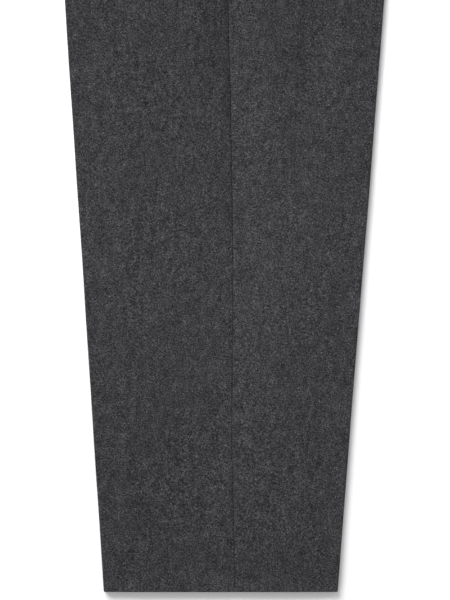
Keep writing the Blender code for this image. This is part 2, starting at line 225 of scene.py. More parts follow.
LOFT_EDGE = (3 * MM, 40 * MM)  # how far inside the edges the loft begins and is full
RELIEF_EDGE = (2 * MM, 26 * MM)  # and the creases are
RELIEF_OUT = (0.985, 1.015)
SOFT = "x height angle length width rise bend"
RELIEF = rows(  # millimetres and degrees from across; bend is how far the ends curve off
    SOFT,
    # the leg, as the photograph shows it
    (67, 464, 78, 110, 15, -1.25, 0),
    (28, 430, 88, 80, 13, 0.45, -3),
    (42, 296, 74, 62, 28, 0.90, 6),
    (74, 236, 60, 38, 16, 0.35, 4),
    (-32, 486, 95, 80, 15, 1.00, 3),
    (-66, 330, 84, 85, 17, -0.30, -4),
    (-88, 240, 98, 60, 14, 0.30, 3),
    (-40, 150, 82, 70, 15, -0.28, 5),
    (36, 120, 100, 60, 15, -0.35, -4),
    (62, 84, 76, 36, 12, 0.25, 3),
    (-80, 60, 92, 40, 16, -0.25, -3),
    # behind the knee and under the seat
    (-58, 560, 70, 60, 14, -0.55, 6),
    (46, 590, 100, 75, 15, -0.45, -5),
    (-92, 640, 62, 55, 12, 0.60, 8),
    (84, 668, 118, 60, 12, 0.55, -7),
    # drag lines from the crotch to the front
    (118, 752, 128, 62, 9, 1.00, 9),
    (140, 790, 146, 58, 8, 0.90, 8),
    (172, 822, 157, 48, 7, 0.85, 6),
    (104, 800, 132, 50, 10, -0.60, 6),
    # and from the crotch to the seat
    (-112, 760, 50, 66, 10, 1.05, -9),
    (-136, 800, 36, 62, 9, 0.90, -8),
    (-176, 838, 24, 50, 8, 0.80, -6),
    (-92, 806, 44, 55, 11, -0.60, -6),
    (-150, 872, 14, 55, 10, 0.55, 5),
    # across the lap and the hip
    (60, 862, 8, 48, 9, 0.45, -4),
    (78, 905, 96, 32, 9, 0.50, 3),
    (200, 880, 62, 34, 9, 0.50, 4),
    (-52, 905, 172, 52, 10, 0.50, 5),
    (-70, 962, 6, 44, 8, -0.40, 4),
    (-168, 946, 128, 38, 9, 0.45, -4),
)
UNDER_CREASES = rows(  # pressed up into the side that the trousers lie on
    SOFT,
    (-60, 430, 86, 80, 7, 0.30, 4),
    (52, 520, 94, 70, 7, 0.34, -3),
    (70, 300, 98, 60, 6, 0.26, 3),
    (-84, 230, 80, 60, 7, 0.24, -4),
    (30, 120, 104, 45, 6, 0.26, 3),
    (-70, 640, 66, 60, 7, 0.36, 6),
    (118, 740, 128, 66, 6, 0.45, 8),
    (150, 800, 150, 55, 6, 0.42, 7),
    (-118, 758, 48, 62, 7, 0.45, -8),
    (-160, 828, 28, 60, 6, 0.42, -6),
    (90, 862, 12, 50, 7, 0.34, -4),
    (-90, 900, 168, 55, 7, 0.34, 5),
    (-60, 965, 4, 46, 6, 0.30, 3),
    (196, 900, 70, 40, 6, 0.30, 3),
)

RIDGE_IN = (0.775, 0.80)
RIDGE_OUT = (0.87, 0.90)
RIDGE_ROUND = 0.8 * MM
RIDGE_SPREAD = 5 * MM
PLEAT_SINK_IN = (0.97, 1.018)
DART_LINE = 0.22 * MM  # the dart's sewn line
DART_LINE_SPREAD = 0.2 * MM
DART_SPREAD = 1.3 * MM
DART_ROUND = 0.15 * MM
DART_FADE = 0.3  # of its length
MOUTH_LIFT = 0.8 * MM  # how far the pocket's mouth gapes
MOUTH_TOP = WAIST - 16 * MM  # where the gape ends
MOUTH_SPREAD = 9 * MM
LOOP_STITCH_INSET = 1.7 * MM  # from the side of a belt loop
MOUTH_STITCH_INSET = 6 * MM  # from the pocket's mouth
FLY_STITCH_INSET = 2 * MM
STITCH_GROOVE = 0.30 * MM
GROOVE_SPREAD = 0.45 * MM

# Rows and columns of the meshes, in millimetres
NEAR_RIM = np.array([0, 0.06, 0.16, 0.32, 0.52, 0.8, 1.2, 1.8, 2.8, 4.2, 5.2, 5.6, 6, 6.4, 6.8, 8, 11])
NEAR_FOLD = np.array([12, 8.5, 5.5, 3.2, 1.6, 0.7, 0])
NEAR_DART = np.array([14, 8, 4.5, 2.5, 1.4, 0.8, 0.4, 0, -0.4, -0.8, -1.4, -2.5, -4.5, -8, -14])
RIM_STEPS = np.array([0, 0.08, 0.22, 0.45, 0.8, 1.4])
ROOM = 30 * MM  # from the front crease to the edge, below which their columns draw together
TURN_STEPS = 9  # columns inside a half turn of cloth
FRONT_BRIDGES = (14, 4, 8)  # columns between the side, the pleats and the fold
BACK_BRIDGES = (22, 16)
PLEATS_IN = (0.70, 0.77)  # for the columns that mark the pleats
DART_IN = (0.74, 0.86)  # and the dart
RUN_SHARES = np.array([0, 0.01, 0.03, 0.07, 0.15, 0.3, 0.5, 0.7, 0.85, 0.93, 0.97, 0.99, 1.0])


def millimetre_rows():
    """The rows' heights, close together at the hem, the waist and the pleats' feet."""
    hem = [0, 0.06, 0.16, 0.32, 0.55, 0.8, 1.3, 2.2, 3.6]
    leg = np.arange(6, 700, 6)
    top = np.arange(700, 1012, 3.6)
    feet = np.arange(854.8, 938, 1.8)
    waist = [1014, 1018, 1022, 1026, 1028.5, 1030]
    joins = [FLY_BOTTOM / MM, SEAT_JOIN / MM]
    return np.unique(np.round([*hem, *leg, *top, *feet, *waist, *joins], 3))


HEIGHTS = (millimetre_rows() * MM)[:, None]


# ---- Curves


def ramp(low, high, value):
    """0 up to low, 1 from high on, and straight between."""
    return np.clip((np.asarray(value, float) - low) / (high - low), 0.0, 1.0)


def smooth(low, high, value):
    """The same with an even S-curve between."""
    t = ramp(low, high, value)
    return t * t * (3.0 - 2.0 * t)


def curve(at, h, y):
    """A curve through the points (h, y) that never overshoots them."""
    h, y = np.asarray(h, float), np.asarray(y, float)
    steps = np.diff(y) / np.diff(h)
    slope = np.concatenate([steps[:1], np.zeros(len(steps) - 1), steps[-1:]])
    before, after = steps[:-1], steps[1:]
    same_way = before * after > 0
    slope[1:-1] = np.where(same_way, 2 * before * after / np.where(same_way, before + after, 1), 0)
    i = np.clip(np.searchsorted(h, at) - 1, 0, len(h) - 2)
    t = ramp(h[i], h[i + 1], at)
    ease = t * t * (3 - 2 * t)
    lean = t * (1 - t) * (h[i + 1] - h[i]) * (slope[i] * (1 - t) - slope[i + 1] * t)
    return y[i] * (1 - ease) + y[i + 1] * ease + lean


def read(table, column, at):
    """A table's column at any places along its first one."""
    return curve(at, [row[0] for row in table], [getattr(row, column) for row in table])


def rounding(distance, radius):
    """The share of its thickness that cloth has this far inside its rim."""
    t = ramp(0, radius, distance)
    return np.maximum(np.sqrt(1 - (1 - t) ** 2), THIN_RIM)


def rounded_off(distance, radius):
    return np.hypot(distance, radius) - radius


def wander(height, phase):
    """A slow uneven drift, about -1 to 1, its own for each phase."""
    turn = 2 * math.pi * height
    return 0.6 * np.sin(turn / 0.31 + phase) + 0.4 * np.sin(turn / 0.117 + 2.3 * phase)


def reach_along(path):
    """How far along a path each of its points is."""
    return np.concatenate([[0.0], np.cumsum(np.linalg.norm(np.diff(path, axis=0), axis=1))])


def bridge(start, end, count):
    """Columns evenly between the columns start and end."""
    share = np.linspace(0, 1, count + 2)[1:-1]
    return start + (end - start) * share


# ---- The lie of the garment


def seam_x(height):
    return read(SIDE_SEAM, "x", height) + read(SEAM_PRESS, "shift", height)


def half_gap(height):
    return read(SEAM_PRESS, "gap", height) / 2


def front_crease(height):
    return HEM_FRONT + FRONT_LEAN * height


def back_edge(height):
    return -(HEM_BACK + BACK_LEAN * height) - read(OUTLINE, "back_reach", height)


def front_edge(height):
    return front_crease(height) + read(OUTLINE, "front_reach", height)


def pocket_mouth(height):
    share = np.maximum(height - POCKET_BOTTOM, 0.0) / (WAIST - POCKET_BOTTOM)
    return seam_x(height) + POCKET_SLANT * share


def waist_tilt(x):
    return TILT_SLOPE * x + TILT_CURVE * x * x


def y_of(height, x):
    return height + waist_tilt(x) * smooth(*TILT_IN, height)


def wall(height):
    return CLOTH + HEM_FOLD * (1 - smooth(*HEM_OUT, height))


def raised(height):
    return LOOP_LIFT * smooth(*LOOP_LIFT_IN, height)


def level(layer, height):
    """The middle of one of the four layers."""
    return raised(height) + (layer + 0.5) * wall(height) + layer * GAP


def from_edges(height, x):
    """How far inside the nearer pressed edge x is."""
    return np.minimum(x - back_edge(height), front_edge(height) - x)


def inside_edges(height, x):
    """0 at the pressed edges and at the waist, 1 well inside them."""
    return smooth(*RELIEF_EDGE, from_edges(height, x)) * (1 - smooth(*RELIEF_OUT, height))


def creases(table, height, x):
    """The sum of a table's soft ridges and troughs."""
    total = 0.0
    for soft in table:
        angle = math.radians(soft.angle)
        across, up = x - soft.x * MM, height - soft.height * MM
        along = (across * math.cos(angle) + up * math.sin(angle)) / (soft.length * MM)
        aside = up * math.cos(angle) - across * math.sin(angle) - soft.bend * MM * along**2
        total = total + soft.rise * MM * np.exp(-(along**2) - (aside / (soft.width * MM)) ** 2)
    return total


def fullness(height, x):
    """How far the upper side's outer layer stands off its level."""
    inside = smooth(*LOFT_EDGE, from_edges(height, x))
    aside = x - seam_x(height)
    away = np.minimum(np.maximum(aside / FRONT_SHOULDER, -aside / BACK_SHOULDER), 1.0)
    middle, seam = read(LOFT, "middle", height), read(LOFT, "seam", height)
    valley = (middle - seam) * (1 - away) ** read(SEAM_PRESS, "steepness", height)
    from_hip = ((x - HIP_X) / HIP_SPREAD[0]) ** 2 + ((height - HIP_HEIGHT) / HIP_SPREAD[1]) ** 2
    return (middle - valley) * inside + HIP_FULLNESS * np.exp(-from_hip)


def upper_level(height, x):
    """The middle of the upper side's outer layer."""
    rise = WAIST_RISE * smooth(*WAIST_RISE_IN, height)
    soft = creases(RELIEF, height, x) * inside_edges(height, x)
    return level(3, height) + rise + fullness(height, x) + soft


def pressed_in(height, x, upper):
    """How deep the lower side's outer face is creased: only up, into the cloth."""
    if upper:
        return np.zeros_like(x)
    return creases(UNDER_CREASES, height, x) * inside_edges(height, x)


def mouth_lift(height, x):
    """How far the upper pocket's mouth stands off the cloth behind it."""
    share = ramp(POCKET_BOTTOM, MOUTH_TOP, height)
    from_mouth = (x - pocket_mouth(height)) / MOUTH_SPREAD
    return MOUTH_LIFT * np.sin(math.pi * share**0.8) * np.exp(-(from_mouth**2))


def stitch_groove(height, x):
    """How deep the stitches beside the pocket's mouth draw the cloth in."""
    from_row = (x - pocket_mouth(height) - MOUTH_STITCH_INSET) / GROOVE_SPREAD
    return STITCH_GROOVE * np.exp(-(from_row**2)) * smooth(POCKET_BOTTOM, POCKET_BOTTOM + 4 * MM, height)


# ---- Closed walls of cloth

FOOT_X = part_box("right_front")[0].x + LEFTMOST_SEAM - GAP / 2  # the foot of the side seam in the frame
HEM_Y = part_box("right_back")[0].y


def to_row(points):
    """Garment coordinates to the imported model's frame."""
    return np.asarray(points, float) + (FOOT_X, HEM_Y, 0.0)


def link(name, data):
    obj = bpy.data.objects.new(name, data)
    bpy.context.collection.objects.link(obj)
    return obj


def mesh_object(name, vertices, faces, finish):
    """A smooth object of one finish, from vertices in garment coordinates."""
    mesh = bpy.data.meshes.new(name)
    mesh.from_pydata(to_row(vertices).tolist(), [], faces)
    mesh.shade_smooth()
    mesh.materials.append(finish)
    return link(name, mesh)


def grid_normals(points, cells):
    """Unit normals at the grid's points, from its faces."""
    across = points[:-1, 1:] - points[1:, :-1]
    along = points[1:, 1:] - points[:-1, :-1]
    face = np.cross(across, along)
    size = np.linalg.norm(face, axis=-1, keepdims=True)
    face = face / np.maximum(size, 1e-15) * cells[..., None]
    total = np.zeros_like(points)
    high, wide = cells.shape
    for r in (0, 1):
        for c in (0, 1):
            total[r : r + high, c : c + wide] += face
    return total / np.maximum(np.linalg.norm(total, axis=-1, keepdims=True), 1e-12)


def cloth_wall(name, points, thickness, finish, left_out=None):
    """A closed wall: the grid's middle surface moved out to both faces, joined round its rims."""
    cells = np.ones((points.shape[0] - 1, points.shape[1] - 1), bool)
    if left_out:
        cells[left_out] = False
    half = grid_normals(points, cells) * (thickness / 2)[..., None]
    count = points.shape[0] * points.shape[1]
    index = np.arange(count).reshape(points.shape[:2])
    quads = np.stack([index[:-1, :-1], index[:-1, 1:], index[1:, 1:], index[1:, :-1]], -1)[cells]
    edges = quads[:, [[0, 1], [1, 2], [2, 3], [3, 0]]].reshape(-1, 2)
    keys = np.sort(edges, axis=1) @ (count, 1)
    _, which, times = np.unique(keys, return_inverse=True, return_counts=True)
    rim = edges[times[which] == 1]
    sides = np.stack([rim[:, 1], rim[:, 0], rim[:, 0] + count, rim[:, 1] + count], -1)
    faces = np.concatenate([quads, quads[:, ::-1] + count, sides])
    vertices = np.concatenate([(points + half).reshape(-1, 3), (points - half).reshape(-1, 3)])
    used, faces = np.unique(faces, return_inverse=True)
    piece = mesh_object(name, vertices[used], faces.reshape(-1, 4).tolist(), finish)
    piece.data.set_sharp_from_angle(angle=math.radians(65))
    return piece


# ---- The panels

PLEAT_KEYS = (0, 10, 18, 27, 33, 42, 50, 58)  # the columns where a pleat's path changes direction
OPEN_STEP = 10 * MM  # the width of the step that a pleat opens into
STEP_POWER = 2  # how fast the step narrows as the pleat closes
FIRST_TURN = 0.25  # the share closed, from which the step's columns stand in its turns
Lead = namedtuple("Lead", "start top front end")
OPEN_LEAD = Lead(-22 * MM, -13 * MM, 9.5 * MM, 14 * MM)  # where the columns beside an open step stand
CLOSED_LEAD = Lead(-12 * MM, -3 * MM, 3 * MM, 12 * MM)  # and beside the fold, past its depth
PleatCloth = namedtuple("PleatCloth", "x layers share")


def pleat_path(depth, closed):
    """(x, layers fallen) across a pleat, where the cloth turns down, runs on and turns level again.

    Closed is 1 where it is folded flat, with the depth under its edge, and towards 0 it opens into a wide
    step. It always turns at the fold's own radius, so that it never pinches the cloth.
    """
    _, _, edge, under, back, below, _, end = PLEAT_KEYS
    column = np.arange(end + 1)
    step = OPEN_STEP * (1 - closed) ** STEP_POWER
    slant = np.hypot(step, FOLD_PITCH)
    steeper = np.arcsin(np.clip(FOLD_PITCH * (2 * closed - 1) / slant, -1, 1))
    turn = np.arctan2(FOLD_PITCH, step) + steeper
    down = turn * ramp(edge, under, column)
    along = (step + depth) * ramp(under, back, column)
    left = turn * (1 - ramp(back, below, column))
    x = FOLD_PITCH / 2 * (np.sin(down) + np.sin(turn) - np.sin(left)) + along * np.cos(turn)
    fall = FOLD_PITCH / 2 * (1 - np.cos(down) + np.cos(left) - np.cos(turn)) + along * np.sin(turn)
    evenly = x[:, -1:] * ramp(edge, below, column)
    x = evenly + (x - evenly) * smooth(0, FIRST_TURN, closed)
    return x - (x[:, -1:] + depth) / 2, fall / FOLD_PITCH


def pleat_columns(pleat, height, outward, room):
    """The cloth through a pleat, narrowed by room where the front edge is near."""
    start, top, edge, _, _, below, front, end = PLEAT_KEYS
    column = np.arange(end + 1)
    crease = np.minimum(front_crease(height) + pleat.offset, front_edge(height) - CREASE_INSIDE)
    closed = smooth(pleat.foot + PLEAT_CLOSING[0], pleat.foot + PLEAT_CLOSING[1], height)
    rise = np.maximum(height - pleat.foot, 0.0) / (WAIST - pleat.foot)
    depth = SHALLOWEST_PLEAT + (pleat.depth - SHALLOWEST_PLEAT) * rise**0.7
    x, fallen = pleat_path(depth, closed)
    lead = Lead(*(far + (near - far) * closed for far, near in zip(OPEN_LEAD, CLOSED_LEAD)))
    brink, reach = x[:, edge : edge + 1], x[:, below : below + 1]
    behind = depth * closed
    stretches = (
        (start, top, lead.start - behind, lead.top - behind),
        (top, edge, lead.top - behind, brink),
        (below, front, reach, lead.front),
        (front, end, lead.front, lead.end),
    )
    for first, last, x_first, x_last in stretches:
        along = (column - first) / (last - first)
        x = np.where((column >= first) & (column <= last), x_first + (x_last - x_first) * along, x)
    share = smooth(start, top, column) * (1 - smooth(front, end, column))
    layers = fallen[:, -1:] - fallen if outward else fallen
    return PleatCloth(crease + np.where(x > 0, x * room, x), share * layers, share * closed)


def folded(height, top):
    """Where a panel folds round its edge."""
    return height <= top + 1e-9


def fold_start(edge, way):
    return edge - way * (PITCH / 2 + CLOTH / 2)


def crotch_x(height, edge, top):
    """The free edge of a leg's inside: the inseam, and above the crotch the seat or fly seam."""
    inseam = seam_x(np.minimum(height, INSEAM)) - INSEAM_ASIDE + np.copysign(INSEAM_GAP / 2, edge)
    climb = ramp(INSEAM, top, height)
    at_top = edge - np.copysign(4 * MM, edge)
    return inseam + (at_top - inseam) * climb**0.6


def inside_columns(x, z, under, height, top):
    """(x, z) of the cloth from its fold at (x, z), back along the level under, to its free edge."""
    angle = math.pi * np.arange(1, TURN_STEPS + 1) / (TURN_STEPS + 1)
    bulge = np.copysign(np.abs(z - under) / 2, x)
    turn_x = x + bulge * np.sin(angle)
    turn_z = z + (under - z) * (0.5 - 0.5 * np.cos(angle))
    run_x = x + (crotch_x(height, x, top) - x) * RUN_SHARES
    found_x = np.hstack([turn_x, run_x])
    found_z = np.hstack([turn_z, np.broadcast_to(under, run_x.shape)])
    return np.where(folded(height, top), found_x, x), np.where(folded(height, top), found_z, z)


def open_rim(height, distance, top):
    """Rounds the cloth's free edge above the fold's top."""
    return np.where(folded(height, top), 1.0, rounding(distance, SEAM_ROUND))


def seam_dip(height, distance):
    """How far the cloth is pressed down into the side seam."""
    return read(SEAM_PRESS, "dip", height) * np.exp(-distance / SEAM_DIP_WIDTH)


def outside_columns(near_side, marked, near_fold, gather):
    """Columns from the side to the fold, even low down and at the marked places above."""
    marked = np.hstack(marked)
    evenly = bridge(near_side[:, -1:], near_fold[:, :1], marked.shape[1])
    middle = evenly + (marked - evenly) * smooth(*gather, HEIGHTS)
    return np.hstack([near_side, middle, near_fold])


def with_inside(x, z, thick, last, upper, top):
    """(points, thickness, last outer column) of a panel with its inside and the hem's rounded fold."""
    height = HEIGHTS
    under = level(2 if upper else 1, height)
    inner_x, inner_z = inside_columns(last, z[:, -1:], under, height, top)
    all_x = np.hstack([x, inner_x])
    all_z = np.hstack([z, inner_z])
    inner_thick = np.broadcast_to(wall(height), inner_x.shape)
    all_thick = np.hstack([thick, inner_thick]) * rounding(height, HEM_ROUND)
    points = np.stack([all_x, y_of(height, all_x), all_z], axis=-1)
    return points, all_thick, x.shape[1] - 1


def front_grid(upper):
    """A front, from the side round the front edge to the inseam."""
    height = HEIGHTS
    edge = front_edge(height) + EDGE_WANDER * wander(height, 1.0 if upper else 3.7)
    last = np.where(folded(height, FLY_BOTTOM), fold_start(edge, 1), edge)
    side = pocket_mouth(height) + half_gap(height)
    crease = np.minimum(front_crease(height), edge - CREASE_INSIDE)
    room = np.minimum(1.0, (last - crease) / ROOM)
    small, large = (pleat_columns(pleat, height, upper, room) for pleat in PLEATS)
    near_side = side + NEAR_RIM * MM
    near_fold = last - NEAR_FOLD * MM * room
    to_small, between, to_fold = FRONT_BRIDGES
    marked = [
        bridge(near_side[:, -1:], small.x[:, :1], to_small),
        small.x,
        bridge(small.x[:, -1:], large.x[:, :1], between),
        large.x,
        bridge(large.x[:, -1:], near_fold[:, :1], to_fold),
    ]
    x = outside_columns(near_side, marked, near_fold, PLEATS_IN)
    layers, share = np.zeros_like(x), np.zeros_like(x)
    first = len(NEAR_RIM) + to_small
    second = first + small.x.shape[1] + between
    for start, pleat in ((first, small), (second, large)):
        columns = slice(start, start + pleat.x.shape[1])
        layers[:, columns] = pleat.layers
        share[:, columns] = pleat.share
    hollow = pressed_in(height, x, upper) * (1 - share) + stitch_groove(height, x)
    if upper:
        pressed = smooth(*RIDGE_IN, height) * (1 - smooth(*RIDGE_OUT, height))
        ridge = CREASE_RIDGE * pressed * np.exp(-rounded_off(x - crease, RIDGE_ROUND) / RIDGE_SPREAD)
        sink = PLEAT_SINK * smooth(*PLEAT_SINK_IN, height) * share
        z = upper_level(height, x) + FOLD_PITCH * layers + ridge - sink
        z += mouth_lift(height, x) - seam_dip(height, x - side) - hollow / 2
    else:
        z = level(0, height) + FOLD_PITCH * layers + hollow / 2
    thick = (wall(height) - hollow) * rounding(x - side, SEAM_ROUND)
    thick *= open_rim(height, last - x, FLY_BOTTOM)
    return with_inside(x, z, thick, last, upper, FLY_BOTTOM)


def back_grid(upper):
    """A back, from the side round the back edge to the inseam."""
    height = HEIGHTS
    edge = back_edge(height) + EDGE_WANDER * wander(height, 2.2 if upper else 5.1)
    last = np.where(folded(height, SEAT_JOIN), fold_start(edge, -1), edge)
    side = seam_x(height) - half_gap(height)
    share = (height - DART_POINT) / (WAIST - DART_POINT)
    dart = DART_POINT_X + (DART_WAIST_X - DART_POINT_X) * share
    near_side = side - NEAR_RIM * MM
    near_fold = last + NEAR_FOLD * 1.3 * MM
    near_dart = dart + NEAR_DART * MM
    to_dart, to_fold = BACK_BRIDGES
    marked = [
        bridge(near_side[:, -1:], near_dart[:, :1], to_dart),
        near_dart,
        bridge(near_dart[:, -1:], near_fold[:, :1], to_fold),
    ]
    x = outside_columns(near_side, marked, near_fold, DART_IN)
    inside = x - edge
    extra = SEAT_TURNING * smooth(*TURNING_IN, height) * (1 - smooth(6 * MM, SEAT_ROLL, inside))
    thick = wall(height) + extra
    hollow = pressed_in(height, x, upper)
    if upper:
        joined = smooth(*SEAT_JOIN_IN, height)
        low = raised(height) + 1.5 * thick[:, -1:] + GAP
        z = upper_level(height, x)
        z -= joined * (z - low) * (1 - np.sin(math.pi / 2 * ramp(0, SEAT_ROLL, inside)))
        from_dart = rounded_off(x - dart, DART_ROUND)
        hollow_dart = DART_DEPTH * np.exp(-from_dart / DART_SPREAD)
        hollow_dart += DART_LINE * np.exp(-from_dart / DART_LINE_SPREAD)
        z -= hollow_dart * smooth(0.0, DART_FADE, share)
        z -= seam_dip(height, side - x)
    else:
        z = level(0, height) + extra / 2 + hollow / 2
    thick = (thick - hollow) * rounding(side - x, SEAM_ROUND)
    thick *= open_rim(height, x - last, SEAT_JOIN)
    return with_inside(x, z, thick, last, upper, SEAT_JOIN)


def panel(name, grid, upper, top, finish):
    """A front or back of one leg. Above top it has no fold, so its inside ends there."""
    points, thickness, outer = grid(upper)
    first_open = np.searchsorted(HEIGHTS[:, 0], top - 1e-9)
    return cloth_wall(name, points, thickness, finish, np.s_[first_open:, outer:])


# ---- The small pieces


def stations(low, high, count):
    """Values from low to high, close together at both ends for the rims."""
    steps = RIM_STEPS[:-1] * MM
    ends = np.linspace(low + RIM_STEPS[-1] * MM, high - RIM_STEPS[-1] * MM, count)
    return np.concatenate([low + steps, ends, high - steps[::-1]])


def strip(name, across, along, place, thick, radius, finish):
    """A sewn strip: place(a, b) is its middle surface, a across and b along it."""
    a, b = np.meshgrid(across, along)
    rim = np.minimum.reduce([a - across[0], across[-1] - a, b - along[0], along[-1] - b])
    x, y, z = place(a, b)
    points = np.stack(np.broadcast_arrays(x, y, z), axis=-1)
    return cloth_wall(name, points, thick * rounding(rim, radius), finish)


OVERLAP_OUT = (0.995, 1.010)
FACING_SINK = (-12 * MM, -2 * MM)  # from the mouth
FACING_DROP_OUT = (1.010, 1.022)


def pocket_facing(name, upper, finish):
    width = POCKET_SLANT + POCKET_OVERLAP

    def place(a, height):
        side, mouth = seam_x(height) + half_gap(height), pocket_mouth(height)
        overlap = POCKET_OVERLAP * (1 - smooth(*OVERLAP_OUT, height))
        x = side + (mouth + overlap - side) * a / width
        under = FACING_DROP * smooth(mouth + FACING_SINK[0], mouth + FACING_SINK[1], x)
        under *= 1 - smooth(*FACING_DROP_OUT, height)
        if upper:
            z = upper_level(height, x) - seam_dip(height, x - side) - under
        else:
            z = level(0, height) + under
        return x, y_of(height, x), z

    across, along = stations(0, width, 34), stations(FACING_BOTTOM, WAIST, 60)
    return strip(name, across, along, place, CLOTH, SEAM_ROUND, finish)


BAND_ROUND = 1.3 * MM
BAND_SWELL = 0.25 * MM
TURNING_SWELL = 0.35 * MM
TURNING_SPREAD = (11 * MM, 14 * MM)


def band_place(x, up):
    """(x, y) on the waistband: x along its lower edge, up from that edge."""
    lean = TILT_SLOPE + 2 * TILT_CURVE * x
    length = np.hypot(lean, 1)
    return x - lean / length * up, WAIST + waist_tilt(x) + GAP + up / length


def band_level(x, upper):
    if not upper:
        return LOOP_LIFT + BAND_CLOTH / 2 + 0 * x
    off_edge = smooth(0, 30 * MM, x - back_edge(WAIST))
    return LOOP_LIFT + 1.5 * BAND_CLOTH + GAP + BAND_STAND * off_edge


def band_swell(x, up):
    """How the upper band swells along its middle, and over the pleats' turnings."""
    swell = BAND_SWELL * np.sin(math.pi * ramp(0, BAND_HEIGHT, up))
    for pleat in PLEATS:
        middle = front_crease(WAIST) + pleat.offset - pleat.depth / 2
        fade = ((x - middle) / TURNING_SPREAD[0]) ** 2 + up / TURNING_SPREAD[1]
        swell = swell + TURNING_SWELL * np.exp(-fade)
    return swell


def waistband(name, upper, finish):
    def place(up, x):
        z = band_level(x, upper) + (band_swell(x, up) if upper else 0.0)
        return *band_place(x, up), z

    along = stations(back_edge(WAIST), front_edge(WAIST), 110)
    return strip(name, stations(0, BAND_HEIGHT, 14), along, place, BAND_CLOTH, BAND_ROUND, finish)


LOOP_BOW = 0.8 * MM
LOOP_ROUND = 0.7 * MM
THREAD_ROOM = 0.25 * MM  # under the lower loops, which lie on their stitches


def loop_on_band(x):
    """The middle of an upper belt loop on the waistband."""
    return band_level(x, True) + BAND_CLOTH / 2 + GAP + LOOP_CLOTH / 2


def loop_path(loop):
    """The middle of an upper belt loop, from its foot to its top."""
    foot, band_top = loop.rests_on + GAP + LOOP_CLOTH / 2, loop_on_band(loop.x)
    bow = band_top + LOOP_BOW
    return rows(
        "up z",
        (-8.0 * MM, foot),
        (-4.5 * MM, foot),
        (0.3 * MM, band_top),
        (12.0 * MM, bow),
        (28.0 * MM, bow),
        (39.5 * MM, band_top),
    )


def belt_loop(name, loop, upper, finish):
    path = loop_path(loop)
    thick = LOOP_CLOTH if upper else LOOP_CLOTH - THREAD_ROOM

    def place(side, up):
        z = read(path, "z", up) if upper else LOOP_CLOTH - thick / 2
        return *band_place(loop.x + side, up), z

    across = stations(-LOOP_WIDTH / 2, LOOP_WIDTH / 2, 8)
    return strip(name, across, stations(path[0].up, path[-1].up, 46), place, thick, LOOP_ROUND, finish)


def seat_loop_behind(up):
    """How far its fold stands behind the waistband's back edge."""
    return read(SEAT_LOOP_PATH, "behind", up)


def seat_loop(name, finish):
    """The middle loop at the back, folded round the seat seam with the waistband."""
    low, high = LOOP_CLOTH / 2, loop_on_band(back_edge(WAIST))
    bend = 2 * MM
    angle = np.radians(np.linspace(0, 90, 8))
    corner = np.stack([bend * (1 - np.sin(angle)), low + bend * (1 - np.cos(angle))], -1)
    run = np.stack([LOOP_WIDTH / 2 - np.array([0, 0.1, 0.3, 0.7, 1.5]) * MM, np.full(5, low)], -1)
    lower = np.concatenate([run, corner])
    section = np.concatenate([lower, (0, low + high) + (1, -1) * lower[::-1]])
    reach = reach_along(section)

    def place(along_section, up):
        x, z = (np.interp(along_section, reach, column) for column in section.T)
        return *band_place(back_edge(WAIST) - seat_loop_behind(up) + x, up), z

    along = stations(SEAT_LOOP_PATH[0].up, SEAT_LOOP_PATH[-1].up, 40)
    return strip(name, reach, along, place, LOOP_CLOTH, LOOP_ROUND, finish)


def fly_shield(name, finish):
    low = level(2, FLY_BOTTOM)
    between_bands = LOOP_LIFT + BAND_CLOTH + GAP + CLOTH / 2 + SLACK

    def place(a, height):
        x = front_edge(np.minimum(height, WAIST)) - SHIELD_INSET - SHIELD_WIDTH + a
        return x, y_of(height, x), low + (between_bands - low) * smooth(0.94, WAIST, height)

    across, along = stations(0, SHIELD_WIDTH, 12), stations(*SHIELD_SPAN, 60)
    return strip(name, across, along, place, CLOTH, SEAM_ROUND, finish)


def fly_zip(name, finish):
    def place(a, height):
        x = front_edge(height) - ZIP_INSET - ZIP_WIDTH + a
        return x, y_of(height, x), level(1, height)

    across, along = stations(0, ZIP_WIDTH, 8), stations(*ZIP_SPAN, 40)
    return strip(name, across, along, place, CLOTH, 0.3 * MM, finish)


# ---- Sewing

THREAD = 0.32 * MM  # the thickness of a thread
Stitch = namedtuple("Stitch", "start end arch")
PANEL_STITCH = (2.3 * MM, 0.9 * MM)  # the length and gap of stitches along a panel
LOOP_STITCH = (2.2 * MM, 0.8 * MM)  # and along a belt loop
MOUTH_ARCH = 0.16 * MM
ARCH = 0.14 * MM
LAID_ARCH = -0.05 * MM  # of stitches that the garment lies on
TACK_ARCH = 0.28 * MM
TACK_SLANT = 0.12 * MM
ROW_POINTS = 60  # along a row of stitches
UP = np.array((0, 0, 1))


def stitch_mesh(name, stitches, finish):
    """Many stitches as one mesh, each a short thread that arches up between its ends."""
    rings, sides = 6, 6
    t = np.linspace(0, 1, rings)
    around = 2 * math.pi * np.arange(sides) / sides
    vertices, faces = [], []
    ring = np.arange(sides)
    after = np.roll(ring, -1)
    for number, stitch in enumerate(stitches):
        start, end = np.array(stitch.start), np.array(stitch.end)
        along = (end - start) / np.linalg.norm(end - start)
        aside = np.cross(UP, along)
        aside /= np.linalg.norm(aside)
        arch = UP * (stitch.arch * np.sin(math.pi * t))[:, None]
        middle = start + (end - start) * t[:, None] + arch
        radius = THREAD / 2 * rounding(np.minimum(t, 1 - t), 0.35)
        wide = aside * np.cos(around)[:, None] + UP * np.sin(around)[:, None]
        points = middle[:, None] + wide[None] * radius[:, None, None]
        base = number * rings * sides
        vertices.append(points.reshape(-1, 3))
        for r in range(rings - 1):
            low, high = base + r * sides, base + (r + 1) * sides
            faces += [(low + a, low + b, high + b, high + a) for a, b in zip(ring, after)]
        faces += [tuple(base + ring[::-1]), tuple(base + (rings - 1) * sides + ring)]
    return mesh_object(name, np.concatenate(vertices), faces, finish)


